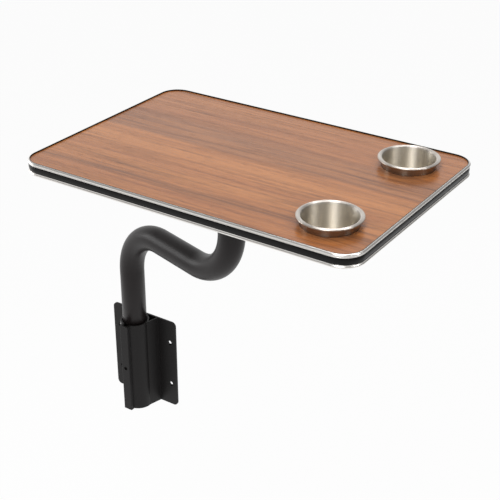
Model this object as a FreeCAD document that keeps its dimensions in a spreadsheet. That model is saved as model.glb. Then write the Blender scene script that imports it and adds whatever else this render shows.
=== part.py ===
import FreeCAD, Part
import math
import os
import types
import Sketcher

# Wall-hung swing-arm table: an extruded clamp bracket holds an S-bent tube,
# and the tube carries a swivelling wood top with two steel cup holders.
# Frame: origin at the middle of the bracket's wall face, +X along the wall,
# -Y out into the room, +Z up. Lengths are in millimetres, angles in degrees.

driving_sizes = {
    # wall bracket
    "bracket_height": 211.0,
    "plate_width": 167.0,
    "plate_thickness": 4.0,
    "plate_corner_radius": 10.0,
    "wall_hole_pitch_wide": 134.0,
    "wall_hole_pitch_tall": 105.0,
    "wall_hole_diameter": 7.5,
    "wall_hole_sink": 2.0,
    "socket_offset": 34.3,
    "socket_wall": 3.6,
    "strut_foot_reach": 39.0,
    "strut_top_reach": 30.0,
    "strut_thickness": 3.0,
    "web_width": 26.0,
    "lug_width": 20.0,
    "lug_reach": 38.4,
    "lug_edge_radius": 1.2,
    "lug_front_wall": 3.4,
    "channel_width": 10.6,
    # clearances
    "running_clearance": 0.1,
    "seat_clearance": 0.02,
    "slide_clearance": 0.3,
    # socket fittings
    "bush_wall": 1.5,
    "bush_height": 38.0,
    "upper_bush_recess": 6.0,
    "lower_bush_lift": 26.0,
    "stop_plug_height": 10.0,
    "drain_radius": 8.0,
    "glide_foot_height": 8.0,
    "key_root_reach": 12.0,
    "thrust_washer_height": 2.0,
    "thrust_washer_radius": 24.0,
    # clamp
    "clamp_hole_diameter": 8.0,
    "screw_diameter": 6.0,
    "clamp_screw_length": 6.0,
    "hex_socket_width": 3.0,
    "hex_socket_depth": 2.5,
    "nut_width": 10.0,
    "nut_thickness": 5.0,
    "thread_clearance": 0.05,
    "shoe_height": 18.0,
    # arm
    "tube_diameter": 50.8,
    "tube_wall": 2.0,
    "bend_radius": 106.7,
    "lower_bend_start": 225.7,
    "arm_run": 115.4,
    "arm_heading": 16.4,
    "plug_flange": 3.0,
    "plug_depth": 22.0,
    "plug_wall": 3.0,
    # tabletop
    "table_top_height": 634.6,
    "table_length": 610.0,
    "table_depth": 408.0,
    "panel_thickness": 19.0,
    "panel_corner_radius": 33.0,
    "pivot_from_left": 211.5,
    "pivot_from_back": 116.8,
    # edge trim
    "trim_height": 23.0,
    "trim_lip": 2.2,
    "trim_back_wall": 1.0,
    "band_reach": 3.3,
    "strip_height": 6.0,
    "strip_reach": 1.9,
    "strip_cap": 0.6,
    "strip_bow_radius": 3.2,
    "tongue_depth": 8.0,
    "tongue_thickness": 2.4,
    # cup holders
    "cup_from_end": 80.0,
    "cup_spacing": 252.0,
    "cup_bore_radius": 43.3,
    "cup_wall": 0.8,
    "cup_depth": 56.0,
    "cup_proud": 15.0,
    "cup_rim_radius": 50.5,
    "cup_rim_height": 3.2,
    "cup_rim_rounding": 1.4,
    "cup_base_radius": 5.0,
    "cup_hole_clearance": 0.15,
    # swivel mount
    "flange_width": 150.0,
    "flange_thickness": 4.0,
    "flange_corner_radius": 12.0,
    "hub_wall": 3.5,
    "hub_length": 92.0,
    "hub_bush_height": 24.0,
    "hub_bush_slit": 3.0,
    "thrust_disc_height": 4.0,
    "gusset_reach": 34.0,
    "gusset_drop": 44.0,
    "gusset_thickness": 4.0,
    "flange_hole_pitch": 122.0,
    "flange_screw_radius": 2.2,
    "flange_screw_head_radius": 4.6,
    "flange_screw_head_height": 2.4,
    "flange_screw_length": 16.0,
    "flange_screw_point": 4.4,
    "lock_boss_radius": 9.0,
    "lock_boss_reach": 42.0,
    "lock_drop": 50.0,
    "lock_pad_length": 3.0,
    "lock_screw_length": 10.0,
}

doc = FreeCAD.newDocument("SwingArmTable")
sheet = doc.addObject("Spreadsheet::Sheet", "Sizes")
for row, (alias, number) in enumerate(driving_sizes.items(), start=1):
    sheet.set(f"A{row}", alias)
    sheet.set(f"B{row}", str(number))
    sheet.setAlias(f"B{row}", alias)
doc.recompute()


class Term:
    # A size as a number and as the sheet expression that gives it.
    def __init__(self, value, text):
        self.value = value
        self.text = text

    def __add__(self, other):
        other = as_term(other)
        return Term(self.value + other.value, f"({self.text} + {other.text})")

    def __sub__(self, other):
        other = as_term(other)
        return Term(self.value - other.value, f"({self.text} - {other.text})")

    def __mul__(self, other):
        other = as_term(other)
        return Term(self.value * other.value, f"({self.text} * {other.text})")

    def __truediv__(self, other):
        other = as_term(other)
        return Term(self.value / other.value, f"({self.text} / {other.text})")

    def __neg__(self):
        return Term(-self.value, f"(-1 * {self.text})")


def as_term(number):
    if isinstance(number, Term):
        return number
    return Term(float(number), repr(float(number)))


def cosine(angle):
    return Term(math.cos(math.radians(angle.value)), f"cos({angle.text} * 1 deg)")


def sine(angle):
    return Term(math.sin(math.radians(angle.value)), f"sin({angle.text} * 1 deg)")


s = types.SimpleNamespace(
    **{alias: Term(number, f"Sizes.{alias}") for alias, number in driving_sizes.items()}
)
zero = as_term(0)

# Sizes and places that follow from the driving ones.
half_bracket = s.bracket_height / 2
tube_radius = s.tube_diameter / 2
tube_bore = tube_radius - s.tube_wall
bush_bore = tube_radius + s.running_clearance
socket_bore = bush_bore + s.bush_wall
socket_radius = socket_bore + s.socket_wall
screw_radius = s.screw_diameter / 2
channel_floor = s.lug_reach - s.lug_front_wall
foot_bottom = s.stop_plug_height - half_bracket + s.slide_clearance
washer_bottom = foot_bottom + s.glide_foot_height
foot_plug_bottom = washer_bottom + s.thrust_washer_height + s.slide_clearance
tube_bottom = foot_plug_bottom + s.plug_flange
arm_reach = s.arm_run + s.bend_radius * 2
pivot_x = arm_reach * cosine(s.arm_heading)
pivot_y = -s.socket_offset - arm_reach * sine(s.arm_heading)
panel_bottom = s.table_top_height - s.panel_thickness
flange_bottom = panel_bottom - s.flange_thickness
disc_bottom = flange_bottom - s.thrust_disc_height
tube_top = disc_bottom - s.slide_clearance - s.plug_flange
lock_height = flange_bottom - s.lock_drop
panel_left = -s.pivot_from_left
panel_right = s.table_length - s.pivot_from_left
panel_back = s.pivot_from_back
panel_front = s.pivot_from_back - s.table_depth
cup_x = panel_right - s.cup_from_end
cup_mid_y = s.pivot_from_back - s.table_depth / 2
cup_radius = s.cup_bore_radius + s.cup_wall
trim_top = s.trim_lip
trim_bottom = s.trim_lip - s.trim_height
trim_middle = (trim_top + trim_bottom) / 2
hub_bore = bush_bore + s.bush_wall
hub_radius = hub_bore + s.hub_wall

parts = []


def new_body(label):
    body = doc.addObject("PartDesign::Body", label)
    body.Label = label
    parts.append(body)
    return body


def place(body, x=zero, y=zero, z=zero, turn=zero):
    body.setExpression("Placement.Base.x", x.text)
    body.setExpression("Placement.Base.y", y.text)
    body.setExpression("Placement.Base.z", z.text)
    body.setExpression("Placement.Rotation.Angle", turn.text)


def new_sketch(body, name, role, lift=zero):
    # A sketch on one of the body's own origin planes, lifted along its normal.
    plane = [feature for feature in body.Origin.OriginFeatures if feature.Role == role][0]
    sketch = body.newObject("Sketcher::SketchObject", name)
    sketch.AttachmentSupport = (plane, [""])
    sketch.MapMode = "FlatFace"
    sketch.setExpression("AttachmentOffset.Base.z", lift.text)
    return sketch


def bind(sketch, constraint, term):
    index = sketch.addConstraint(constraint)
    sketch.setExpression(f"Constraints[{index}]", term.text)


def pin(sketch, geometry, point, x, y):
    # Holds one point of the sketch at its distances from the sketch's origin.
    if x is zero:
        sketch.addConstraint(Sketcher.Constraint("PointOnObject", geometry, point, -2))
    else:
        bind(sketch, Sketcher.Constraint("DistanceX", -1, 1, geometry, point, x.value), x)
    if y is zero:
        sketch.addConstraint(Sketcher.Constraint("PointOnObject", geometry, point, -1))
    else:
        bind(sketch, Sketcher.Constraint("DistanceY", -1, 1, geometry, point, y.value), y)


def circle(sketch, x, y, radius):
    middle = FreeCAD.Vector(x.value, y.value, 0)
    ring = Part.Circle(middle, FreeCAD.Vector(0, 0, 1), radius.value)
    index = sketch.addGeometry(ring)
    pin(sketch, index, 3, x, y)
    bind(sketch, Sketcher.Constraint("Radius", index, radius.value), radius)


def arc_through(start, end, radius, left):
    # The shorter arc from start to end, with its centre on the left or the right.
    chord = end - start
    middle = (start + end) * 0.5
    side = FreeCAD.Vector(-chord.y, chord.x, 0).normalize()
    rise = math.sqrt(max(radius ** 2 - (chord.Length / 2) ** 2, 0))
    centre = middle + side * (rise if left else -rise)
    first, last = (start, end) if left else (end, start)
    angles = [math.atan2(p.y - centre.y, p.x - centre.x) for p in (first, last)]
    if angles[1] < angles[0]:
        angles[1] += 2 * math.pi
    ring = Part.Circle(centre, FreeCAD.Vector(0, 0, 1), radius)
    return Part.ArcOfCircle(ring, angles[0], angles[1])


def outline(sketch, steps, closed=True):
    # Each step is a corner (x, y). A step (x, y, radius, left) is reached by an arc.
    corners = [FreeCAD.Vector(step[0].value, step[1].value, 0) for step in steps]
    joins = []
    count = len(steps) if closed else len(steps) - 1
    for index in range(count):
        goal = (index + 1) % len(steps)
        start, end = corners[index], corners[goal]
        if len(steps[goal]) == 2:
            piece = sketch.addGeometry(Part.LineSegment(start, end))
            joins.append((piece, 1, 2))
        else:
            radius, left = steps[goal][2], steps[goal][3]
            piece = sketch.addGeometry(arc_through(start, end, radius.value, left))
            bind(sketch, Sketcher.Constraint("Radius", piece, radius.value), radius)
            joins.append((piece, 1, 2) if left else (piece, 2, 1))
    for index, (piece, first, last) in enumerate(joins):
        pin(sketch, piece, first, steps[index][0], steps[index][1])
        following = joins[(index + 1) % count]
        if closed or index + 1 < count:
            touch = Sketcher.Constraint("Coincident", piece, last, following[0], following[1])
            sketch.addConstraint(touch)
        else:
            pin(sketch, piece, last, steps[-1][0], steps[-1][1])


def rectangle(sketch, x_low, y_low, x_high, y_high):
    outline(sketch, [(x_low, y_low), (x_high, y_low), (x_high, y_high), (x_low, y_high)])


def pad(body, sketch, length, symmetric=False, down=False):
    feature = body.newObject("PartDesign::Pad", sketch.Name + "_pad")
    feature.Profile = sketch
    feature.setExpression("Length", length.text)
    feature.Reversed = down
    if symmetric:
        feature.SideType = "Symmetric"
    body.Tip = feature
    return feature


def pocket(body, sketch, length=None, along_normal=False, symmetric=False):
    feature = body.newObject("PartDesign::Pocket", sketch.Name + "_pocket")
    feature.Profile = sketch
    feature.Reversed = along_normal
    if length is None:
        feature.Type = "ThroughAll"
    else:
        feature.setExpression("Length", length.text)
    if symmetric:
        feature.SideType = "Symmetric"
    body.Tip = feature
    return feature


def revolve(body, sketch):
    feature = body.newObject("PartDesign::Revolution", sketch.Name + "_turned")
    feature.Profile = sketch
    feature.ReferenceAxis = (sketch, ["V_Axis"])
    feature.Angle = 360.0
    body.Tip = feature
    return feature


def pipe(body, section, spine, kind="AdditivePipe"):
    feature = body.newObject("PartDesign::" + kind, section.Name + "_pipe")
    feature.Profile = section
    feature.Spine = (spine, [])
    body.Tip = feature
    return feature


def ease(body, kind, size, wanted):
    # Rounds ("Fillet") or bevels ("Chamfer") the edges of the tip that wanted picks.
    doc.recompute()
    base = body.Tip
    edges = base.Shape.Edges
    names = [f"Edge{i}" for i, edge in enumerate(edges, start=1) if wanted(edge)]
    if not names:
        raise RuntimeError(f"{body.Label}: no edge to ease")
    feature = body.newObject("PartDesign::" + kind, f"{body.Label}_{kind}".lower())
    feature.Base = (base, names)
    feature.setExpression("Radius" if kind == "Fillet" else "Size", size.text)
    body.Tip = feature
    return feature


def near(number, term):
    return abs(number - term.value) < 1e-3


def runs_along(edge, axis):
    # True for a straight edge that is parallel to the named axis.
    if not isinstance(edge.Curve, Part.Line):
        return False
    return abs(abs(getattr(edge.Curve.Direction, axis)) - 1) < 1e-6


def is_ring(edge, radius):
    return isinstance(edge.Curve, Part.Circle) and near(edge.Curve.Radius, radius)


def ring_body(label, x, y, bottom, inner, outer, height):
    body = new_body(label)
    sketch = new_sketch(body, label + "_ring", "XY_Plane")
    circle(sketch, zero, zero, outer)
    circle(sketch, zero, zero, inner)
    pad(body, sketch, height)
    place(body, x, y, bottom)
    return body


def make_wall_bracket():
    body = new_body("wall_bracket")
    plate = new_sketch(body, "plate", "XZ_Plane")
    half_plate = s.plate_width / 2
    rectangle(plate, -half_plate, -half_bracket, half_plate, half_bracket)
    pad(body, plate, s.plate_thickness)

    root = -s.plate_thickness / 2
    axis = -s.socket_offset
    struts = new_sketch(body, "struts", "XY_Plane")
    foot, top = s.strut_foot_reach, s.strut_top_reach
    inner_foot, inner_top = foot - s.strut_thickness, top - s.strut_thickness
    outline(struts, [(top, axis), (foot, root), (inner_foot, root), (inner_top, axis)])
    outline(struts, [(-top, axis), (-inner_top, axis), (-inner_foot, root), (-foot, root)])
    pad(body, struts, s.bracket_height, symmetric=True)

    web = new_sketch(body, "web", "XY_Plane")
    rectangle(web, -s.web_width / 2, axis, s.web_width / 2, root)
    pad(body, web, s.bracket_height, symmetric=True)

    socket = new_sketch(body, "socket", "XY_Plane")
    circle(socket, zero, axis, socket_radius)
    pad(body, socket, s.bracket_height, symmetric=True)

    lug = new_sketch(body, "lug", "XY_Plane")
    rectangle(lug, -s.lug_width / 2, axis - s.lug_reach, s.lug_width / 2, axis)
    pad(body, lug, s.bracket_height, symmetric=True)

    def front_edge_of_lug(edge):
        return runs_along(edge, "z") and near(edge.CenterOfMass.y, axis - s.lug_reach)

    ease(body, "Fillet", s.lug_edge_radius, front_edge_of_lug)

    bore = new_sketch(body, "bore", "XY_Plane")
    circle(bore, zero, axis, socket_bore)
    pocket(body, bore, symmetric=True)

    channel = new_sketch(body, "channel", "XY_Plane")
    half_channel = s.channel_width / 2
    rectangle(channel, -half_channel, axis - channel_floor, half_channel, axis)
    pocket(body, channel, symmetric=True)

    clamp_hole = new_sketch(body, "clamp_hole", "XZ_Plane", lift=s.socket_offset)
    circle(clamp_hole, zero, zero, s.clamp_hole_diameter / 2)
    pocket(body, clamp_hole, along_normal=True)

    wall_holes = new_sketch(body, "wall_holes", "XZ_Plane")
    half_wide, half_tall = s.wall_hole_pitch_wide / 2, s.wall_hole_pitch_tall / 2
    for x in (-half_wide, half_wide):
        for z in (-half_tall, half_tall):
            circle(wall_holes, x, z, s.wall_hole_diameter / 2)
    pocket(body, wall_holes, along_normal=True)

    def front_rim_of_hole(edge):
        at_front = near(edge.CenterOfMass.y, -s.plate_thickness)
        return at_front and is_ring(edge, s.wall_hole_diameter / 2)

    ease(body, "Chamfer", s.wall_hole_sink, front_rim_of_hole)

    def corner_of_plate(edge):
        at_side = near(abs(edge.CenterOfMass.x), half_plate)
        return at_side and runs_along(edge, "y")

    ease(body, "Fillet", s.plate_corner_radius, corner_of_plate)


def make_split_bush(label, x, y, bottom, inner, outer, height, slit):
    # A plastic sleeve with a slit on its front side.
    body = ring_body(label, x, y, bottom, inner, outer, height)
    gap = new_sketch(body, label + "_slit", "XY_Plane")
    rectangle(gap, -slit / 2, -outer - slit, slit / 2, zero)
    pocket(body, gap, along_normal=True)


def make_socket_fittings():
    axis = -s.socket_offset
    bush_radius = socket_bore - s.seat_clearance
    upper = half_bracket - s.upper_bush_recess - s.bush_height
    lower = s.lower_bush_lift - half_bracket
    for label, bottom in (("upper_socket_bush", upper), ("lower_socket_bush", lower)):
        make_split_bush(label, zero, axis, bottom, bush_bore, bush_radius, s.bush_height,
                        s.channel_width)
    ring_body("socket_stop_plug", zero, axis, -half_bracket, s.drain_radius, bush_radius,
              s.stop_plug_height)


def make_glide_foot():
    # The keyed foot that lifts with the tube and cannot turn in the socket.
    foot_radius = bush_bore - s.slide_clearance
    body = ring_body("glide_foot", zero, -s.socket_offset, foot_bottom, s.drain_radius,
                     foot_radius, s.glide_foot_height)
    key = new_sketch(body, "foot_key", "XY_Plane")
    half_key = s.channel_width / 2 - s.slide_clearance
    key_end = -channel_floor + s.slide_clearance
    rectangle(key, -half_key, key_end, half_key, -s.key_root_reach)
    pad(body, key, s.glide_foot_height)
    ring_body("thrust_washer", zero, -s.socket_offset, washer_bottom, s.drain_radius,
              s.thrust_washer_radius, s.thrust_washer_height)


def make_clamp():
    axis = -s.socket_offset
    nut_back = channel_floor - s.seat_clearance
    nut = new_body("clamp_nut")
    square = new_sketch(nut, "nut_square", "XZ_Plane", lift=nut_back - s.nut_thickness)
    half_nut = s.nut_width / 2
    rectangle(square, -half_nut, -half_nut, half_nut, half_nut)
    circle(square, zero, zero, screw_radius + s.thread_clearance)
    pad(nut, square, s.nut_thickness)
    place(nut, zero, axis)

    shoe_back = nut_back - s.nut_thickness - s.seat_clearance
    shoe = new_body("clamp_shoe")
    block = new_sketch(shoe, "shoe_block", "XY_Plane")
    half_shoe = s.nut_width / 2
    inner_face = half_shoe - bush_bore
    rectangle(block, -half_shoe, -shoe_back, half_shoe, inner_face)
    pad(shoe, block, s.shoe_height, symmetric=True)
    hollow = new_sketch(shoe, "shoe_hollow", "XY_Plane")
    circle(hollow, zero, zero, bush_bore)
    pocket(shoe, hollow, symmetric=True)
    place(shoe, zero, axis)

    make_set_screw("clamp_screw", s.clamp_screw_length)
    screw = parts[-1]
    place(screw, zero, axis - shoe_back - s.seat_clearance, zero)


def make_set_screw(label, length):
    # A headless screw that points along -Y, with a hexagon socket in its far end.
    body = new_body(label)
    shank = new_sketch(body, label + "_shank", "XZ_Plane")
    circle(shank, zero, zero, screw_radius)
    pad(body, shank, length)
    socket = new_sketch(body, label + "_hex", "XZ_Plane", lift=length)
    half_flat = s.hex_socket_width / 2
    corner = s.hex_socket_width / math.sqrt(3)
    outline(socket, [
        (corner, zero), (corner / 2, half_flat), (-corner / 2, half_flat),
        (-corner, zero), (-corner / 2, -half_flat), (corner / 2, -half_flat),
    ])
    pocket(body, socket, s.hex_socket_depth)


def make_arm_tube():
    # The tube bends through two square corners with the same centreline radius.
    body = new_body("arm_tube")
    bend, start = s.bend_radius, s.lower_bend_start
    run_height = start + bend
    top_start = run_height + bend
    spine = new_sketch(body, "tube_spine", "XZ_Plane")
    outline(spine, [
        (zero, tube_bottom),
        (zero, start),
        (bend, run_height, bend, False),
        (bend + s.arm_run, run_height),
        (arm_reach, top_start, bend, True),
        (arm_reach, tube_top),
    ], closed=False)
    section = new_sketch(body, "tube_section", "XY_Plane", lift=tube_bottom)
    circle(section, zero, zero, tube_radius)
    circle(section, zero, zero, tube_bore)
    pipe(body, section, spine)
    place(body, zero, -s.socket_offset, zero, -s.arm_heading)


def make_tube_plug(label, x, y, face, up):
    # A hollow end plug: a flange that covers the tube's end and a skirt inside it.
    body = new_body(label)
    skirt = tube_bore - s.seat_clearance
    profile = new_sketch(body, label + "_profile", "XZ_Plane")
    sign = 1 if up else -1
    flange = s.plug_flange * sign
    depth = -s.plug_depth * sign
    hollow = skirt - s.plug_wall
    steps = [
        (zero, zero), (hollow, zero), (hollow, depth), (skirt, depth), (skirt, zero),
        (tube_radius, zero), (tube_radius, flange), (zero, flange),
    ]
    outline(profile, steps)
    revolve(body, profile)
    place(body, x, y, face)


def make_panel():
    body = new_body("tabletop_panel")
    face = new_sketch(body, "panel_face", "XY_Plane")
    rectangle(face, panel_left, panel_front, panel_right, panel_back)
    pad(body, face, s.panel_thickness, down=True)
    ease(body, "Fillet", s.panel_corner_radius, lambda edge: runs_along(edge, "z"))

    cup_holes = new_sketch(body, "cup_holes", "XY_Plane")
    for side in (-1, 1):
        y = cup_mid_y + s.cup_spacing / 2 * side
        circle(cup_holes, cup_x, y, cup_radius + s.cup_hole_clearance)
    pocket(body, cup_holes)

    pilots = new_sketch(body, "screw_pilots", "XY_Plane", lift=-s.panel_thickness)
    half_pitch = s.flange_hole_pitch / 2
    for x in (-half_pitch, half_pitch):
        for y in (-half_pitch, half_pitch):
            circle(pilots, x, y, s.flange_screw_radius + s.thread_clearance)
    bite = s.flange_screw_length - s.flange_thickness + s.slide_clearance
    pocket(body, pilots, bite, along_normal=True)

    groove = new_sketch(body, "tongue_groove", "XZ_Plane")
    half_slot = s.tongue_thickness / 2 + s.seat_clearance
    groove_end = panel_right - s.tongue_depth - s.slide_clearance
    rectangle(groove, groove_end, trim_middle - half_slot,
              panel_right + s.trim_back_wall, trim_middle + half_slot)
    pipe(body, groove, edge_path(body), "SubtractivePipe")
    place(body, pivot_x, pivot_y, s.table_top_height)


def edge_path(body):
    # The panel's rounded outline, started on its right-hand side.
    path = new_sketch(body, body.Label + "_path", "XY_Plane", lift=trim_middle)
    left, right, front, back = panel_left, panel_right, panel_front, panel_back
    r = s.panel_corner_radius
    outline(path, [
        (right, zero),
        (right, back - r), (right - r, back, r, True),
        (left + r, back), (left, back - r, r, True),
        (left, front + r), (left + r, front, r, True),
        (right - r, front), (right, front + r, r, True),
    ])
    return path


def make_trim():
    # A black moulding with a tongue in the panel's edge, and a bright bead along
    # its top and its bottom.
    base = panel_right + s.seat_clearance
    wall = base + s.trim_back_wall
    moulding = new_body("edge_moulding")
    section = new_sketch(moulding, "moulding_section", "XZ_Plane")
    cap = s.strip_cap + s.seat_clearance
    band_top = trim_top - s.strip_height - s.seat_clearance
    band_bottom = trim_bottom + s.strip_height + s.seat_clearance
    half_tongue = s.tongue_thickness / 2
    tongue_end = panel_right - s.tongue_depth
    outline(section, [
        (base, trim_bottom + cap), (wall, trim_bottom + cap),
        (wall, band_bottom), (panel_right + s.band_reach, band_bottom),
        (panel_right + s.band_reach, band_top), (wall, band_top),
        (wall, trim_top - cap), (base, trim_top - cap),
        (base, trim_middle + half_tongue), (tongue_end, trim_middle + half_tongue),
        (tongue_end, trim_middle - half_tongue), (base, trim_middle - half_tongue),
    ])
    pipe(moulding, section, edge_path(moulding))
    place(moulding, pivot_x, pivot_y, s.table_top_height)

    for label, edge, sign in (("upper_bright_strip", trim_top, 1), ("lower_bright_strip", trim_bottom, -1)):
        strip = new_body(label)
        bead = new_sketch(strip, label + "_bead", "XZ_Plane")
        seat = wall + s.seat_clearance
        cap_inner = edge - s.strip_cap * sign
        bead_foot = edge - s.strip_height * sign
        shoulder = panel_right + s.strip_reach
        outline(bead, [
            (base, edge), (base, cap_inner), (seat, cap_inner), (seat, bead_foot),
            (shoulder, bead_foot), (shoulder, edge, s.strip_bow_radius, sign > 0),
        ])
        pipe(strip, bead, edge_path(strip))
        place(strip, pivot_x, pivot_y, s.table_top_height)


def make_cup(label, side):
    # A drawn steel cup with a crowned rim that stands proud of the wood.
    body = new_body(label)
    profile = new_sketch(body, label + "_profile", "XZ_Plane")
    bore, rim = s.cup_bore_radius, s.cup_rim_radius
    bottom = -s.cup_depth
    outline(profile, [
        (zero, bottom), (cup_radius, bottom), (cup_radius, -s.cup_rim_height),
        (rim, -s.cup_rim_height), (rim, zero), (bore, zero),
        (bore, bottom + s.cup_wall), (zero, bottom + s.cup_wall),
    ])
    revolve(body, profile)

    def rim_corner(edge):
        at_rim = is_ring(edge, rim) or is_ring(edge, bore)
        return at_rim and edge.CenterOfMass.z > -s.cup_rim_height.value - 1

    ease(body, "Fillet", s.cup_rim_rounding, rim_corner)

    def outer_base(edge):
        return is_ring(edge, cup_radius) and near(edge.CenterOfMass.z, bottom)

    ease(body, "Fillet", s.cup_base_radius, outer_base)

    def inner_base(edge):
        return is_ring(edge, bore) and near(edge.CenterOfMass.z, bottom + s.cup_wall)

    ease(body, "Fillet", s.cup_base_radius - s.cup_wall, inner_base)
    turn_x = pivot_x + cup_x
    place(body, turn_x, pivot_y + cup_mid_y + s.cup_spacing / 2 * side, s.table_top_height + s.cup_proud)


def make_swivel_flange():
    # A welded mount: plate under the panel, hub tube, four gussets and a lock boss.
    body = new_body("swivel_flange")
    plate = new_sketch(body, "flange_plate", "XY_Plane")
    half_width = s.flange_width / 2
    rectangle(plate, -half_width, -half_width, half_width, half_width)
    pad(body, plate, s.flange_thickness)
    ease(body, "Fillet", s.flange_corner_radius, lambda edge: runs_along(edge, "z"))

    hub = new_sketch(body, "hub", "XY_Plane", lift=s.flange_thickness / 2)
    circle(hub, zero, zero, hub_radius)
    pad(body, hub, s.hub_length + s.flange_thickness / 2, down=True)

    inner = hub_bore + s.hub_wall / 2
    reach = hub_radius + s.gusset_reach
    weld = s.flange_thickness / 2
    for name, plane in (("gussets_x", "XZ_Plane"), ("gussets_y", "YZ_Plane")):
        ribs = new_sketch(body, name, plane)
        outline(ribs, [(inner, weld), (inner, -s.gusset_drop), (hub_radius, -s.gusset_drop),
                       (reach, zero), (reach, weld)])
        outline(ribs, [(-inner, weld), (-reach, weld), (-reach, zero),
                       (-hub_radius, -s.gusset_drop), (-inner, -s.gusset_drop)])
        pad(body, ribs, s.gusset_thickness, symmetric=True)

    boss = new_sketch(body, "lock_boss", "XZ_Plane", lift=inner)
    circle(boss, zero, -s.lock_drop - s.lock_boss_radius, s.lock_boss_radius)
    pad(body, boss, s.lock_boss_reach - inner)

    bore = new_sketch(body, "hub_bore", "XY_Plane")
    circle(bore, zero, zero, hub_bore)
    pocket(body, bore)

    thread = new_sketch(body, "lock_thread", "XZ_Plane")
    circle(thread, zero, -s.lock_drop - s.lock_boss_radius, screw_radius + s.thread_clearance)
    pocket(body, thread, along_normal=True)

    holes = new_sketch(body, "flange_holes", "XY_Plane")
    half_pitch = s.flange_hole_pitch / 2
    for x in (-half_pitch, half_pitch):
        for y in (-half_pitch, half_pitch):
            circle(holes, x, y, s.flange_screw_radius + s.slide_clearance)
    pocket(body, holes, along_normal=True)

    def lower_rim_of_hole(edge):
        at_bottom = near(edge.CenterOfMass.z, zero)
        return at_bottom and is_ring(edge, s.flange_screw_radius + s.slide_clearance)

    ease(body, "Chamfer", s.flange_screw_head_radius - s.flange_screw_radius, lower_rim_of_hole)
    place(body, pivot_x, pivot_y, flange_bottom)


def make_hub_fittings():
    bush_radius = hub_bore - s.seat_clearance
    upper = disc_bottom - s.slide_clearance - s.hub_bush_height
    lower = flange_bottom - s.hub_length
    for label, bottom in (("upper_hub_bush", upper), ("lower_hub_bush", lower)):
        make_split_bush(label, pivot_x, pivot_y, bottom, bush_bore, bush_radius,
                        s.hub_bush_height, s.hub_bush_slit)
    ring_body("thrust_disc", pivot_x, pivot_y, disc_bottom, s.drain_radius, bush_radius,
              s.thrust_disc_height)


def make_hub_lock():
    height = lock_height - s.lock_boss_radius
    pad_start = bush_bore + s.running_clearance
    lock_pad = new_body("lock_pad")
    disc = new_sketch(lock_pad, "lock_pad_disc", "XZ_Plane", lift=pad_start)
    circle(disc, zero, zero, screw_radius - s.running_clearance)
    pad(lock_pad, disc, s.lock_pad_length)
    place(lock_pad, pivot_x, pivot_y, height)
    make_set_screw("lock_screw", s.lock_screw_length)
    screw = parts[-1]
    start = pad_start + s.lock_pad_length + s.seat_clearance
    place(screw, pivot_x, pivot_y - start, height)


def make_flange_screws():
    # Four countersunk wood screws in one group, patterned along the flange's two sides.
    body = new_body("flange_screws")
    body.AllowCompound = True
    half_pitch = s.flange_hole_pitch / 2
    shank, head = s.flange_screw_radius, s.flange_screw_head_radius
    tip = s.flange_screw_length
    profile = new_sketch(body, "wood_screw", "XZ_Plane")
    outline(profile, [
        (zero, zero), (head, zero), (shank, s.flange_screw_head_height),
        (shank, tip - s.flange_screw_point), (zero, tip),
    ])
    turned = revolve(body, profile)
    grid = body.newObject("PartDesign::MultiTransform", "screw_grid")
    rows = []
    for name, role in (("along_x", "X_Axis"), ("along_y", "Y_Axis")):
        line = [feature for feature in body.Origin.OriginFeatures if feature.Role == role][0]
        pattern = body.newObject("PartDesign::LinearPattern", name)
        pattern.Direction = (line, [""])
        pattern.setExpression("Length", s.flange_hole_pitch.text)
        pattern.Occurrences = 2
        rows.append(pattern)
    grid.Originals = [turned]
    grid.Transformations = rows
    body.Tip = grid
    place(body, pivot_x - half_pitch, pivot_y - half_pitch, flange_bottom)


make_wall_bracket()
make_socket_fittings()
make_glide_foot()
make_clamp()
make_arm_tube()
make_tube_plug("tube_foot_plug", zero, -s.socket_offset, tube_bottom, up=False)
make_tube_plug("tube_top_plug", pivot_x, pivot_y, tube_top, up=True)
make_panel()
make_trim()
make_cup("front_cup", -1)
make_cup("rear_cup", 1)
make_swivel_flange()
make_hub_fittings()
make_hub_lock()
make_flange_screws()
doc.recompute()

for item in doc.Objects:
    if "Invalid" in item.State or "Error" in item.State:
        raise RuntimeError(f"{item.Label} did not build: {item.State}")
for item in parts:
    if item.Shape.isNull() or not item.Shape.isValid() or not item.Shape.Solids:
        raise RuntimeError(f"{item.Label} has no valid solid")

os.makedirs("parts", exist_ok=True)
for item in parts:
    item.Shape.exportStep(f"parts/{item.Label}.step")
    box = item.Shape.optimalBoundingBox()
    low = f"{box.XMin:8.2f} {box.YMin:8.2f} {box.ZMin:8.2f}"
    high = f"{box.XMax:8.2f} {box.YMax:8.2f} {box.ZMax:8.2f}"
    print(f"{item.Label:20s} {len(item.Shape.Solids)} solid  {item.Shape.Volume:11.1f} mm3  {low}  {high}")
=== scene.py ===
import math

import bmesh
import bpy
from mathutils import Matrix, Vector


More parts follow.
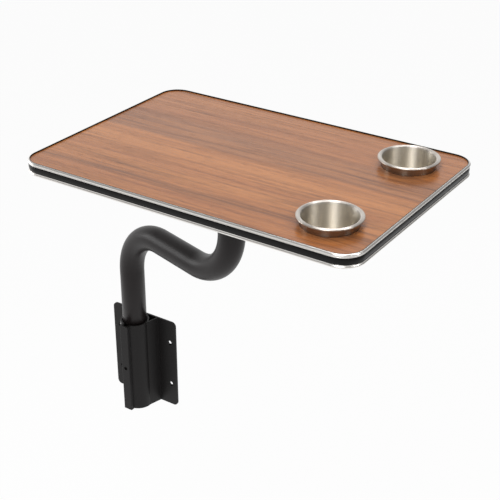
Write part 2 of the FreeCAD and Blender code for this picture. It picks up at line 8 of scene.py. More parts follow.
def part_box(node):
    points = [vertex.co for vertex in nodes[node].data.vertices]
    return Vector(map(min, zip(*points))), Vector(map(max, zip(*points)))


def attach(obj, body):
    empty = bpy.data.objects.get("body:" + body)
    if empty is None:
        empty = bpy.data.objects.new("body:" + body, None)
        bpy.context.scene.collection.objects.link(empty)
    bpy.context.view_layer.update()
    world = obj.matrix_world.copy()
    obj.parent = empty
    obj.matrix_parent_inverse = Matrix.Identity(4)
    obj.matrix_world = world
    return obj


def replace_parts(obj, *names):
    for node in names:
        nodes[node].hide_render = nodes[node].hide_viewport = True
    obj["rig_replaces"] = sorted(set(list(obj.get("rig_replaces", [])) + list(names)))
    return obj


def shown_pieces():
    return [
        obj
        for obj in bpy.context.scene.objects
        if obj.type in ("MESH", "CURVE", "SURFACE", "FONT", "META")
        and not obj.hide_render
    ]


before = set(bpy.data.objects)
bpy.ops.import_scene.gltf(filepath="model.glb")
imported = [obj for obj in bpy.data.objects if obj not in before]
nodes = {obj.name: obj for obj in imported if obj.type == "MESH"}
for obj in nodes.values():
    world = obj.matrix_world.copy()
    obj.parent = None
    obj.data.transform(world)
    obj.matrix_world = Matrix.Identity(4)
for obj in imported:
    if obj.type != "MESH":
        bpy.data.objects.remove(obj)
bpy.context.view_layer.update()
mm = 0.001
print("frame loaded,", len(nodes), "nodes")


class Wire:  # one socket of a node tree; sums with it add Math nodes
    def __init__(self, book, socket):
        self.book = book
        self.socket = socket

    def maths(self, operation, first, second=0.0):
        return self.book.add("ShaderNodeMath", {"operation": operation}, {0: first, 1: second})

    def other(self, name):  # another output of the same node
        return Wire(self.book, self.socket.node.outputs[name])

    def __add__(self, number):
        return self.maths("ADD", self, number)

    def __radd__(self, number):
        return self.maths("ADD", number, self)

    def __sub__(self, number):
        return self.maths("SUBTRACT", self, number)

    def __rsub__(self, number):
        return self.maths("SUBTRACT", number, self)

    def __mul__(self, number):
        return self.maths("MULTIPLY", self, number)

    def __rmul__(self, number):
        return self.maths("MULTIPLY", number, self)

    def __truediv__(self, number):
        return self.maths("DIVIDE", self, number)

    def __abs__(self):
        return self.maths("ABSOLUTE", self)

    def below(self, number):
        return self.maths("LESS_THAN", self, number)

    def most(self, number):
        return self.maths("MAXIMUM", self, number)


class NodeBook:  # fills one node tree
    def __init__(self, tree):
        self.tree = tree

    def join(self, value, socket):
        if isinstance(value, Wire):
            self.tree.links.new(value.socket, socket)
        else:
            socket.default_value = value

    def add(self, kind, settings=None, sockets=None, out=0):
        node = self.tree.nodes.new(kind)
        for name, value in (settings or {}).items():
            if name == "stops":
                fillRamp(node.color_ramp, value)
            else:
                setattr(node, name, value)
        for key, value in (sockets or {}).items():
            self.join(value, node.inputs[key])
        return Wire(self, node.outputs[out]) if node.outputs else node

    def ramp(self, factor, stops):
        return self.add("ShaderNodeValToRGB", {"stops": stops}, {0: factor})

    def mix(self, factor, first, second):
        sockets = {0: factor, 6: first, 7: second}  # the colour sockets of the node
        return self.add("ShaderNodeMix", {"data_type": "RGBA"}, sockets, out=2)

    def noise(self, place, stretch, detail, roughness, offset=(0.0, 0.0, 0.0)):
        spot = self.add("ShaderNodeMapping", None, {"Vector": place, "Location": offset, "Scale": stretch})
        sockets = {"Vector": spot, "Scale": 1.0, "Detail": detail, "Roughness": roughness}
        return self.add("ShaderNodeTexNoise", None, sockets)

    def steps(self, value, low, high, first=0.0, last=1.0):  # a clamped straight slope
        sockets = {0: value, 1: low, 2: high, 3: first, 4: last}
        return self.add("ShaderNodeMapRange", {"clamp": True}, sockets)

    def bump(self, height, strength, distance):
        sockets = {"Height": height, "Strength": strength, "Distance": distance}
        return self.add("ShaderNodeBump", None, sockets)

    def finish(self, sockets):
        shader = self.add("ShaderNodeBsdfPrincipled", None, sockets)
        self.add("ShaderNodeOutputMaterial", None, {"Surface": shader})


def fillRamp(ramp, stops):
    while len(ramp.elements) < len(stops):
        ramp.elements.new(0.5)  # moved to its own place below
    for element, (spot, colour) in zip(ramp.elements, stops):
        element.position = spot
        element.color = colour


screen = {"white": 255, "toe": 0.04045, "toeSlope": 12.92, "lift": 0.055, "power": 2.4}


def straighten(level):
    if level < screen["toe"]:
        return level / screen["toeSlope"]
    return ((level + screen["lift"]) / (1.0 + screen["lift"])) ** screen["power"]


def tone(red, green, blue):  # screen colour, 0 to 255, as the linear colour that sockets take
    return (*[straighten(channel / screen["white"]) for channel in (red, green, blue)], 1.0)


def newPaint(name):
    paint = bpy.data.materials.new(name)
    paint.use_nodes = True
    paint.node_tree.nodes.clear()
    book = NodeBook(paint.node_tree)
    return paint, book, book.add("ShaderNodeTexCoord", None, None, "Object")


noiseMean = 0.5

walnut = {  # a noise is its stretch, detail, roughness and offset; a bump its strength and depth
    "palest": tone(183, 118, 65),
    "light": tone(173, 108, 58),
    "middle": tone(159, 97, 53),
    "grey": tone(141, 90, 56),
    "dark": tone(112, 66, 36),
    "line": tone(74, 42, 26),
    "backing": tone(52, 46, 43),
    "backingFleck": tone(70, 63, 59),
    "boards": [  # tones from the back edge to the front edge
        (0.0, "middle"), (0.07, "light"), (0.15, "middle"), (0.24, "middle"), (0.32, "grey"),
        (0.47, "grey"), (0.485, "light"), (0.58, "palest"), (0.67, "light"), (0.70, "middle"),
        (0.75, "palest"), (0.83, "light"), (0.86, "dark"), (0.89, "middle"), (1.0, "middle"),
    ],
    "sway": ((2.6, 9.0, 1.0), 2.0, 0.5),  # slow drift of the boards
    "swayReach": 0.05,
    "ripple": ((9.0, 34.0, 1.0), 2.0, 0.5),
    "rippleReach": 0.008,
    "figure": ((4.0, 120.0, 1.0), 4.0, 0.62, (0.3, 0.0, 0.0)),
    "figureSpan": (0.43, 0.60),
    "figureTint": 0.50,
    "streaks": ((5.0, 230.0, 1.0), 2.0, 0.6, (0.0, 0.7, 0.0)),
    "streakSpan": (0.42, 0.58),
    "streakTint": 0.46,
    "ridge": ((1.3, 30.0, 1.0), 2.0, 0.45, (0.0, 0.4, 0.2)),
    "ridgeWidth": 0.022,
    "ridgeSpan": (0.3, 0.6),
    "ridgeTint": 0.45,
    "fineRidge": ((1.9, 78.0, 1.0), 2.0, 0.5, (0.5, 0.1, 0.0)),
    "fineWidth": 0.05,
    "fineSpan": (0.35, 0.6),
    "fineTint": 0.32,
    "pores": ((55.0, 800.0, 1.0), 2.0, 0.5),
    "poreSpan": (0.32, 0.46),
    "poreTint": 0.38,
    "speckle": ((900.0, 900.0, 900.0), 2.0, 0.6),
    "speckleSpan": (0.35, 0.65),
    "speckleTint": 0.25,
    "roughness": 0.23,
    "figureDulls": 0.07,
    "poreDulls": 0.1,
    "backingDulls": 0.12,
    "shine": 0.62,
    "streakLift": 0.4,
    "bump": (0.12, 0.2 * mm),
}


def paintWalnut():
    paint, book, place = newPaint("walnut_laminate")
    low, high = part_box("tabletop_panel")
    w = walnut
    sway = book.noise(place, *w["sway"]) - noiseMean
    ripple = book.noise(place, *w["ripple"]) - noiseMean
    along = book.add("ShaderNodeSeparateXYZ", None, {0: place})
    across = along.other("Y") + sway * w["swayReach"] + ripple * w["rippleReach"]
    share = book.steps(across, high.y, low.y)
    boards = book.ramp(share, [(spot, w[name]) for spot, name in w["boards"]])
    figure = book.noise(place, *w["figure"])
    streaks = book.noise(place, *w["streaks"])
    ridge = abs(book.noise(place, *w["ridge"]) - noiseMean)
    lines = book.steps(ridge, 0.0, w["ridgeWidth"], 1.0, 0.0)  # thin dark growth lines
    fineRidge = abs(book.noise(place, *w["fineRidge"]) - noiseMean)
    fineLines = book.steps(fineRidge, 0.0, w["fineWidth"], 1.0, 0.0)
    pits = book.steps(book.noise(place, *w["pores"]), *w["poreSpan"], 1.0, 0.0)
    depth = book.steps(figure, *w["figureSpan"])
    colour = book.mix(depth * w["figureTint"], boards, w["dark"])
    colour = book.mix(book.steps(streaks, *w["streakSpan"]) * w["streakTint"], colour, w["palest"])
    lineShare = lines * book.steps(figure, *w["ridgeSpan"]) * w["ridgeTint"]
    colour = book.mix(lineShare, colour, w["line"])
    fineShare = fineLines * book.steps(streaks, *w["fineSpan"]) * w["fineTint"]
    colour = book.mix(fineShare, colour, w["dark"])
    colour = book.mix(pits * w["poreTint"], colour, w["line"])
    flecks = book.steps(book.noise(place, *w["speckle"]), *w["speckleSpan"])
    sheet = book.mix(flecks * w["speckleTint"], w["backing"], w["backingFleck"])
    under = along.other("Z").below((low.z + high.z) / 2)  # the plain sheet on the lower face
    dulled = depth * w["figureDulls"] + pits * w["poreDulls"] + under * w["backingDulls"]
    book.finish({
        "Base Color": book.mix(under, colour, sheet),
        "Roughness": w["roughness"] + dulled,
        "Specular IOR Level": w["shine"],
        "Normal": book.bump(streaks * w["streakLift"] - pits, *w["bump"]),
    })
    return paint


steel = {
    "inside": tone(236, 228, 214),
    "rim": tone(236, 229, 221),
    # painted shade: the collar's outside is set much darker than the rim and the inside, though it is the
    # same steel
    "shadedCollar": tone(170, 159, 146),
    "black": (0.0, 0.0, 0.0, 1.0),
    "length": 120 * mm,  # of the section, of which the next four are shares
    "collarEnd": 0.82,
    "rimStart": 0.87,
    "rimEnd": 0.92,
    "insideStart": 0.945,
    "rubbed": 0.84,
    "brush": ((14.0, 2600.0, 1.0), 3.0, 0.6),
    "broad": ((6.0, 380.0, 1.0), 2.0, 0.5, (0.0, 3.0, 0.0)),
    "scratchSpan": (0.30, 0.70),
    "scratchTint": 0.6,
    "broadTint": 0.3,
    "rimRun": (97 * mm, 106 * mm),
    "insideRoughness": 0.41,
    "outsideRoughness": 0.14,
    "scratchDulls": 0.05,
    "broadDulls": 0.04,
    "anisotropic": 0.95,
    "rotation": 0.25,
    "bump": (0.03, 0.02 * mm),
}


def paintCupSteel():
    paint, book = newPaint("brushed_steel")[:2]
    s = steel
    lap = book.add("ShaderNodeUVMap", {"uv_map": "brush"})  # round the cup, and along its section
    brush = book.noise(lap, *s["brush"])
    broad = book.noise(lap, *s["broad"])
    scratch = book.steps(brush, *s["scratchSpan"])
    run = book.add("ShaderNodeSeparateXYZ", None, {0: lap}).other("Y")
    gloss = book.steps(run, *s["rimRun"], s["outsideRoughness"], s["insideRoughness"])
    # the ramp gives the collar a darker tone than the rim and the inside: painted shade on one steel
    tones = book.ramp(run / s["length"], [
        (0.0, s["shadedCollar"]), (s["collarEnd"], s["shadedCollar"]), (s["rimStart"], s["rim"]),
        (s["rimEnd"], s["rim"]), (s["insideStart"], s["inside"]), (1.0, s["inside"]),
    ])
    rubbed = book.mix(s["rubbed"], s["black"], tones)
    book.finish({
        "Base Color": book.mix(scratch * s["scratchTint"] + broad * s["broadTint"], rubbed, tones),
        "Metallic": 1.0,
        "Roughness": gloss + scratch * s["scratchDulls"] + broad * s["broadDulls"],
        "Anisotropic": s["anisotropic"],
        "Anisotropic Rotation": s["rotation"],
        "Normal": book.bump(brush, *s["bump"]),
    })
    return paint


bright = {
    "colour": tone(246, 243, 239),
    "dull": tone(238, 234, 229),
    "cloud": ((30.0, 30.0, 900.0), 2.0, 0.5),
    "cloudSpan": (0.3, 0.7),
    "drawn": ((6.0, 6.0, 5200.0), 2.0, 0.5),  # drawing lines run along the strip
    "roughness": 0.26,
    "drawnDulls": 0.06,
    "bump": (0.02, 0.02 * mm),
}


def paintBrightTrim():
    paint, book, place = newPaint("bright_trim")
    mottle = book.steps(book.noise(place, *bright["cloud"]), *bright["cloudSpan"])
    drawn = book.noise(place, *bright["drawn"])
    book.finish({
        "Base Color": book.mix(mottle, bright["dull"], bright["colour"]),
        "Metallic": 1.0,
        "Roughness": bright["roughness"] + drawn * bright["drawnDulls"],
        "Normal": book.bump(drawn, *bright["bump"]),
    })
    return paint


vinyl = {
    "colour": tone(12, 11, 11),
    "worn": tone(19, 17, 17),
    "cloud": ((70.0, 70.0, 160.0), 3.0, 0.55),
    "cloudSpan": (0.35, 0.7),
    "drawn": ((10.0, 10.0, 2600.0), 2.0, 0.5),
    "roughness": 0.22,
    "cloudDulls": 0.12,
    "shine": 0.18,
    "cloudLift": 0.6,
    "bump": (0.10, 0.1 * mm),
}


def paintVinyl():
    paint, book, place = newPaint("black_vinyl")
    cloud = book.noise(place, *vinyl["cloud"])
    drawn = book.noise(place, *vinyl["drawn"])
    book.finish({
        "Base Color": book.mix(book.steps(cloud, *vinyl["cloudSpan"]), vinyl["colour"], vinyl["worn"]),
        "Roughness": vinyl["roughness"] + cloud * vinyl["cloudDulls"],
        "Specular IOR Level": vinyl["shine"],
        "Normal": book.bump(drawn + cloud * vinyl["cloudLift"], *vinyl["bump"]),
    })
    return paint


powder = {
    "colour": tone(30, 25, 25),
    "lighter": tone(39, 34, 34),
    "peel": ((620.0, 620.0, 620.0), 2.0, 0.5),  # orange peel
    "grit": ((2300.0, 2300.0, 2300.0), 2.0, 0.6),
    "cloud": ((14.0, 14.0, 14.0), 3.0, 0.55),
    "cloudTint": 0.6,
    "gritTint": 0.4,
    "tintSpan": (0.3, 0.7),
    "roughness": 0.32,
    "cloudDulls": 0.10,
    "shine": 0.25,
    "gritLift": 0.35,
    "bump": (0.16, 0.15 * mm),
}


def paintPowder():
    paint, book, place = newPaint("powder_coat")
    peel = book.noise(place, *powder["peel"])
    grit = book.noise(place, *powder["grit"])
    cloud = book.noise(place, *powder["cloud"])
    mottle = book.steps(cloud * powder["cloudTint"] + grit * powder["gritTint"], *powder["tintSpan"])
    book.finish({
        "Base Color": book.mix(mottle, powder["colour"], powder["lighter"]),
        "Roughness": powder["roughness"] + cloud * powder["cloudDulls"],
        "Specular IOR Level": powder["shine"],
        "Normal": book.bump(peel + grit * powder["gritLift"], *powder["bump"]),
    })
    return paint


anodised = {
    "colour": tone(18, 16, 16),
    "lighter": tone(26, 23, 23),
    "drawn": ((1900.0, 1900.0, 5.0), 2.0, 0.55),  # extrusion lines run up the bracket
    "broad": ((240.0, 240.0, 1.5), 2.0, 0.5),
    "grit": ((2600.0, 2600.0, 2600.0), 1.0, 0.5),
    "drawnTint": 0.5,
    "broadTint": 0.5,
    "tintSpan": (0.3, 0.7),
    "roughness": 0.36,
    "broadDulls": 0.12,
    "shine": 0.26,
    "drawnLift": 0.7,
    "gritLift": 0.3,
    "bump": (0.14, 0.1 * mm),
}


def paintAnodised():
    paint, book, place = newPaint("black_anodised")
    a = anodised
    drawn = book.noise(place, *a["drawn"])
    broad = book.noise(place, *a["broad"])
    grit = book.noise(place, *a["grit"])
    mottle = book.steps(drawn * a["drawnTint"] + broad * a["broadTint"], *a["tintSpan"])
    book.finish({
        "Base Color": book.mix(mottle, a["colour"], a["lighter"]),
        "Roughness": a["roughness"] + broad * a["broadDulls"],
        "Specular IOR Level": a["shine"],
        "Normal": book.bump(drawn * a["drawnLift"] + broad + grit * a["gritLift"], *a["bump"]),
    })
    return paint


plain = {  # of each its two tones, roughness, metallic share and grain; the rest is shared
    "black_nylon": (tone(26, 26, 27), tone(38, 38, 39), 0.46, 0.0, 700.0),
    "blackened_steel": (tone(44, 42, 41), tone(62, 59, 57), 0.34, 0.85, 900.0),
    "zinc_plate": (tone(178, 178, 172), tone(204, 203, 196), 0.26, 1.0, 420.0),
    "cloud": (3.0, 0.6),
    "cloudSpan": (0.3, 0.7),
    "cloudDulls": 0.15,
    "bump": (0.10, 0.1 * mm),
}


def paintPlain(name):
    paint, book, place = newPaint(name)
    first, second, roughness, metallic, grain = plain[name]
    cloud = book.noise(place, (grain, grain, grain), *plain["cloud"])
    book.finish({
        "Base Color": book.mix(book.steps(cloud, *plain["cloudSpan"]), first, second),
        "Metallic": metallic,
        "Roughness": roughness + cloud * plain["cloudDulls"],
        "Normal": book.bump(cloud, *plain["bump"]),
    })
    return paint


walnutPaint = paintWalnut()
cupPaint = paintCupSteel()
brightPaint = paintBrightTrim()
vinylPaint = paintVinyl()
powderPaint = paintPowder()
anodisedPaint = paintAnodised()
nylonPaint = paintPlain("black_nylon")
oxidePaint = paintPlain("blackened_steel")
zincPaint = paintPlain("zinc_plate")
print("paints mixed")


def link(name, mesh):
    piece = bpy.data.objects.new(name, mesh)
    bpy.context.scene.collection.objects.link(piece)
    return piece


def settle(piece):  # the evaluated piece becomes a plain mesh with no modifiers
    graph = bpy.context.evaluated_depsgraph_get()
    mesh = bpy.data.meshes.new_from_object(piece.evaluated_get(graph))
    name = piece.name
    old = piece.data
    bpy.data.objects.remove(piece)
    if isinstance(old, bpy.types.Mesh):
        bpy.data.meshes.remove(old)
    mesh.name = name
    return link(name, mesh)


def newTree(name, inputs):
    tree = bpy.data.node_groups.new(name, "GeometryNodeTree")
    tree.interface.new_socket("Geometry", in_out="INPUT", socket_type="NodeSocketGeometry")
    tree.interface.new_socket("Geometry", in_out="OUTPUT", socket_type="NodeSocketGeometry")
    for label, kind in inputs.items():
        tree.interface.new_socket(label, in_out="INPUT", socket_type=kind)
    book = NodeBook(tree)
    return tree, book, book.add("NodeGroupInput")


def closeTree(book, shape, paint):
    whole = book.add("GeometryNodeRealizeInstances", None, {0: shape})
    painted = book.add("GeometryNodeSetMaterial", None, {"Geometry": whole, "Material": paint})
    book.add("NodeGroupOutput", None, {0: painted})


def grow(name, tree, values, start=None):  # runs a tree on a start shape and keeps the mesh
    piece = link(name, start or bpy.data.meshes.new(name))
    modifier = piece.modifiers.new("grow", "NODES")
    modifier.node_group = tree
    for item in tree.interface.items_tree:
        if item.in_out == "INPUT" and item.name in values:
            modifier[item.identifier] = values[item.name]
    return settle(piece)


def shapePiece(name, shape, paint):  # a bmesh becomes a piece
    mesh = bpy.data.meshes.new(name)
    shape.to_mesh(mesh)
    shape.free()
    mesh.materials.clear()
    mesh.materials.append(paint)
    return link(name, mesh)


def sharpen(piece, degrees):
    for face in piece.data.polygons:
        face.use_smooth = True
    piece.data.set_sharp_from_angle(angle=math.radians(degrees))


def keep(piece, body, slot, *replaced):
    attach(piece, body)
    if replaced:
        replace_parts(piece, *replaced)
    print("piece", piece.name, len(piece.data.polygons), "faces")


def middleOf(node):
    low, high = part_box(node)
    return (low + high) / 2


def polyCurve(name, points, closed, flat=True):
    curve = bpy.data.curves.new(name, "CURVE")
    curve.dimensions = "2D" if flat else "3D"
    line = curve.splines.new("POLY")
    line.points.add(len(points) - 1)
    for spot, point in zip(line.points, points):
        spot.co = (*point, 1.0) if len(point) == 3 else (*point, 0.0, 1.0)
    line.use_cyclic_u = closed
    return curve


def roundLine(corners, segments):
    # corners are (outward, height, rounding) in mm; each rounding becomes a short arc
    points = []
    for index, (x, y, radius) in enumerate(corners):
        here = Vector((x, y))
        if radius <= 0:
            points.append(here)
            continue
        before = (Vector(corners[index - 1][:2]) - here).normalized()
        after = (Vector(corners[(index + 1) % len(corners)][:2]) - here).normalized()
        half = before.angle(after) / 2
        reach = radius / math.tan(half)
        centre = here + (before + after).normalized() * (radius / math.sin(half))
        first, last = here + before * reach, here + after * reach
        sweep = (first - centre).angle_signed(last - centre)
        for step in range(segments + 1):
            turn = Matrix.Rotation(-sweep * step / segments, 2)
            points.append(centre + turn @ (first - centre))
    return points


def spinLine(shape, line, sides, base):
    # rings of vertices round the upright axis through base; a point on the axis is one vertex
    turns = [2 * math.pi * step / sides for step in range(sides)]
    rings = []
    for distance, height in line:
        spots = [(distance * math.cos(turn), distance * math.sin(turn)) for turn in turns]
        if distance == 0.0:
            spots = [(0.0, 0.0)]
        rings.append([shape.verts.new((base.x + x, base.y + y, base.z + height)) for x, y in spots])
    return rings


tube = {
    "sides": 96,
    "bendSteps": 40,
    "wall": 2.0 * mm,
    "bendRadius": 106.7 * mm,
    "ringSlack": 0.5 * mm,  # lets the rings at both ends of the level run count
}


def makeArmTube():
    low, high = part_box("arm_tube")
    foot, top = middleOf("tube_foot_plug"), middleOf("tube_top_plug")
    topLow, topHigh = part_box("tube_top_plug")
    radius = (topHigh.x - topLow.x) / 2
    runHeight = findRunHeight(foot, top)
    points = [
        (foot.x, foot.y, low.z), (foot.x, foot.y, runHeight),
        (top.x, top.y, runHeight), (top.x, top.y, high.z),
    ]
    tree, book, given = newTree("sweep_tube", {
        "Bend radius": "NodeSocketFloat", "Bend steps": "NodeSocketInt",
        "Tube radius": "NodeSocketFloat", "Sides": "NodeSocketInt",
    })
    bent = book.add("GeometryNodeFilletCurve", {"mode": "POLY"}, {
        "Curve": given, "Count": given.other("Bend steps"), "Radius": given.other("Bend radius"),
    })
    ring = book.add("GeometryNodeCurvePrimitiveCircle", None, {
        "Resolution": given.other("Sides"), "Radius": given.other("Tube radius"),
    })
    swept = book.add("GeometryNodeCurveToMesh", None, {"Curve": bent, "Profile Curve": ring})
    smooth = book.add("GeometryNodeSetShadeSmooth", None, {0: swept})
    closeTree(book, smooth, powderPaint)
    piece = grow("bent_arm_tube", tree, {
        "Bend radius": tube["bendRadius"], "Bend steps": tube["bendSteps"],
        "Tube radius": radius, "Sides": tube["sides"],
    }, polyCurve("arm_line", points, False, flat=False))
    shell = piece.modifiers.new("wall", "SOLIDIFY")
    shell.thickness = tube["wall"]
    shell.offset = -1.0  # the wall grows inwards
    piece = settle(piece)
    keep(piece, "arm", "tube_black", "arm_tube")


def findRunHeight(foot, top):
    # the level run's height, from the rings of the tube's own vertices at its two ends
    span = (top - foot).xy
    ahead = span.normalized()
    first = tube["bendRadius"] - tube["ringSlack"]
    last = span.length - tube["bendRadius"] + tube["ringSlack"]
    spots = [v.co for v in nodes["arm_tube"].data.vertices]
    heights = [p.z for p in spots if first < (p - foot).xy.dot(ahead) < last]
    return (min(heights) + max(heights)) / 2


trim = {
    "cornerSteps": 24,
    "roundSteps": 5,
    "bowSteps": 14,
    "sharpness": 34.0,
    "edgeWithin": 0.01 * mm,
    "rise": 2.2,  # of the moulding over the panel's upper face, in mm
    "upper": [  # outward, height, rounding, from the panel's edge and its upper face, in mm
        (1.05, 2.05, 0.1), (1.05, -3.75, 0.0), (3.0, -3.78, 0.4), (3.15, -2.85, 0.15), (2.7, -2.5, 0.1),
    ],
    "upperBow": (3.2, 3.95, 1.7, -2.1, 2.05),  # reach at its foot, middle and top, then its heights
    "band": [
        (1.0, -3.82, 0.1), (1.0, 2.2, 0.2), (0.05, 2.2, 0.2),
        (0.05, -20.8, 0.2), (1.0, -20.8, 0.2), (1.0, -14.85, 0.1),
    ],
    "bandBow": (2.2, 3.3, 2.2, -14.85, -3.82),
}


def bow(footReach, midReach, topReach, foot, top):
    # a bulging face as points from its foot to its top
    points = []
    for step in range(trim["bowSteps"] + 1):
        share = step / trim["bowSteps"]
        flat = footReach + (topReach - footReach) * share
        swell = midReach - (footReach + topReach) / 2
        points.append((flat + swell * 4 * share * (1 - share), foot + (top - foot) * share, 0.0))
    return points


def panelCorner():
    # the corner radius of the panel, from where its straight front edge begins
    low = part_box("tabletop_panel")[0]
    spots = [v.co for v in nodes["tabletop_panel"].data.vertices]
    return min(p.x for p in spots if p.y < low.y + trim["edgeWithin"]) - low.x


def sweepRound(name, corners, paint):
    low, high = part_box("tabletop_panel")
    tree, book, given = newTree("sweep_" + name, {
        "Length": "NodeSocketFloat", "Depth": "NodeSocketFloat", "Corner": "NodeSocketFloat",
        "Corner steps": "NodeSocketInt", "Middle": "NodeSocketVector", "Section": "NodeSocketObject",
    })
    frameLine = book.add("GeometryNodeCurvePrimitiveQuadrilateral", {"mode": "RECTANGLE"}, {
        "Width": given.other("Length"), "Height": given.other("Depth"),
    })
    rounded = book.add("GeometryNodeFilletCurve", {"mode": "POLY"}, {
        "Curve": frameLine, "Count": given.other("Corner steps"), "Radius": given.other("Corner"),
    })
    level = book.add("GeometryNodeSetCurveNormal", {"mode": "Z_UP"}, {"Curve": rounded})
    placed = book.add("GeometryNodeTransform", None, {
        "Geometry": level, "Translation": given.other("Middle"),
    })
    shape = book.add("GeometryNodeObjectInfo", None, {"Object": given.other("Section")}, "Geometry")
    swept = book.add("GeometryNodeCurveToMesh", None, {"Curve": placed, "Profile Curve": shape})
    smooth = book.add("GeometryNodeSetShadeSmooth", None, {0: swept})
    closeTree(book, smooth, paint)
    line = roundLine(corners, trim["roundSteps"])
    section = [(p.x * mm, -p.y * mm) for p in line]  # a swept section's second axis points down
    profile = link(name + "_section", polyCurve(name + "_section", section, True))
    middle = (low + high) / 2
    piece = grow(name, tree, {
        "Length": high.x - low.x, "Depth": high.y - low.y, "Corner": panelCorner(),
        "Corner steps": trim["cornerSteps"], "Middle": (middle.x, middle.y, high.z), "Section": profile,
    })
    bpy.data.objects.remove(profile)
    sharpen(piece, trim["sharpness"])
    return piece


def makeEdgeTrim():
    upper = trim["upper"] + bow(*trim["upperBow"])
    band = trim["band"] + bow(*trim["bandBow"])
    foot = (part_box("lower_bright_strip")[0].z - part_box("tabletop_panel")[1].z) / mm
    drop = foot + trim["rise"]  # mirrors the upper strip about the middle of the moulding
    lower = [(x, drop - height, rounding) for x, height, rounding in reversed(upper)]
    bandPiece = sweepRound("edge_band", band, vinylPaint)
    keep(bandPiece, "tabletop", "trim_black", "edge_moulding")
    upperPiece = sweepRound("upper_strip", upper, brightPaint)
    keep(upperPiece, "tabletop", "trim_bright", "upper_bright_strip")
    lowerPiece = sweepRound("lower_strip", lower, brightPaint)
    keep(lowerPiece, "tabletop", "trim_bright", "lower_bright_strip")


cup = {
    "sides": 160,
    "roundSteps": 6,
    "sharpness": 50.0,
    "section": [  # distance from the axis, height above the cup's own base, rounding, in mm
        (0.0, 0.0, 0.0), (43.6, 0.0, 5.4), (44.0, 52.9, 1.2), (50.3, 53.4, 0.4), (50.5, 55.2, 0.9),
        (46.2, 56.0, 1.6), (43.5, 54.9, 0.9), (43.3, 0.8, 4.6), (0.0, 0.8, 0.0),
    ],
}


def makeCup(name, node):
    middle = middleOf(node)
    base = Vector((middle.x, middle.y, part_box(node)[0].z))
    line = [p * mm for p in roundLine(cup["section"], cup["roundSteps"])]
    sides = cup["sides"]
    shape = bmesh.new()
    lap = shape.loops.layers.uv.new("brush")
    rings = spinLine(shape, line, sides, base)
    run = 0.0
    for index, (lower, upper) in enumerate(zip(rings, rings[1:])):
        onwardRun = run + (line[index + 1] - line[index]).length
        for step in range(sides):
            spots = [
                (lower, step, run), (lower, step + 1, run),
                (upper, step + 1, onwardRun), (upper, step, onwardRun),
            ]
            corners = {}  # a ring of one vertex gives a triangle
            for ring, turn, length in spots:
                corners.setdefault(ring[turn % len(ring)], (turn / sides, length))
            face = shape.faces.new(corners)
            for loop, place in zip(face.loops, corners.values()):
                loop[lap].uv = place
        run = onwardRun
    bmesh.ops.recalc_face_normals(shape, faces=shape.faces)
    piece = shapePiece(name, shape, cupPaint)
    sharpen(piece, cup["sharpness"])
    keep(piece, "tabletop", "cup_steel", node)


screw = {
    "sides": 40,
    "profile": [  # distance from the axis and height over the head's face, in mm
        (0.02, 16.0), (0.7, 14.2), (2.2, 11.4), (2.2, 2.4), (4.6, 0.25), (4.5, 0.0),
    ],
    "headRadius": 4.6 * mm,
    "recess": 2.6 * mm,
    "recessWidth": 0.8 * mm,
    "recessDepth": 1.6 * mm,
    "recessTaper": 0.7,
    "flatWithin": 0.01 * mm,
    "sharpness": 30.0,
    "spinStep": 0.7,
    "spinStart": 0.3,
}


def makeScrewForm():
    shape = bmesh.new()
    line = [(distance * mm, height * mm) for distance, height in screw["profile"]]
    rings = spinLine(shape, line, screw["sides"], Vector((0.0, 0.0, 0.0)))
    for lower, upper in zip(rings, rings[1:]):
        for step in range(screw["sides"]):
            onward = (step + 1) % screw["sides"]
            shape.faces.new((lower[step], lower[onward], upper[onward], upper[step]))
    arm, slim, taper = screw["recess"], screw["recessWidth"], screw["recessTaper"]
    cross = [
        (slim, slim), (slim, arm), (-slim, arm), (-slim, slim), (-arm, slim), (-arm, -slim),
        (-slim, -slim), (-slim, -arm), (slim, -arm), (slim, -slim), (arm, -slim), (arm, slim),
    ]
    lip = [shape.verts.new((x, y, 0.0)) for x, y in cross]
    floor = [shape.verts.new((x * taper, y * taper, screw["recessDepth"])) for x, y in cross]
    for step in range(len(cross)):
        onward = (step + 1) % len(cross)
        shape.faces.new((lip[step], lip[onward], floor[onward], floor[step]))
    shape.faces.new(floor)
    rims = [e for e in shape.edges if e.is_boundary]
    rims = [e for e in rims if all(abs(v.co.z) < screw["flatWithin"] for v in e.verts)]
    bmesh.ops.triangle_fill(shape, use_beauty=True, edges=rims)
    bmesh.ops.holes_fill(shape, edges=shape.edges, sides=screw["sides"])
    bmesh.ops.recalc_face_normals(shape, faces=shape.faces)
    form = shapePiece("screw_form", shape, zincPaint)
    sharpen(form, screw["sharpness"])
    return form


def makeFlangeScrews():
    low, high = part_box("flange_screws")
    middle = (low + high) / 2
    form = makeScrewForm()
    tree, book, given = newTree("screw_grid", {
        "Pitch": "NodeSocketFloat", "Middle": "NodeSocketVector", "Screw": "NodeSocketObject",
    })
    grid = book.add("GeometryNodeMeshGrid", None, {
        "Size X": given.other("Pitch"), "Size Y": given.other("Pitch"), "Vertices X": 2, "Vertices Y": 2,
    })
    placed = book.add("GeometryNodeTransform", None, {
        "Geometry": grid, "Translation": given.other("Middle"),
    })
    one = book.add("GeometryNodeObjectInfo", None, {"Object": given.other("Screw")}, "Geometry")
    index = book.add("GeometryNodeInputIndex")
    turn = index * screw["spinStep"] + screw["spinStart"]  # no two recesses line up
    spin = book.add("ShaderNodeCombineXYZ", None, {"Z": turn})
    screws = book.add("GeometryNodeInstanceOnPoints", None, {
        "Points": placed, "Instance": one, "Rotation": spin,
    })
    closeTree(book, screws, zincPaint)
    half = (high.x - low.x) / 2 - screw["headRadius"]
    piece = grow("flange_screw_set", tree, {
        "Pitch": half * 2, "Middle": (middle.x, middle.y, low.z), "Screw": form,
    })
    bpy.data.objects.remove(form)
    keep(piece, "tabletop", "plated_steel", "flange_screws")


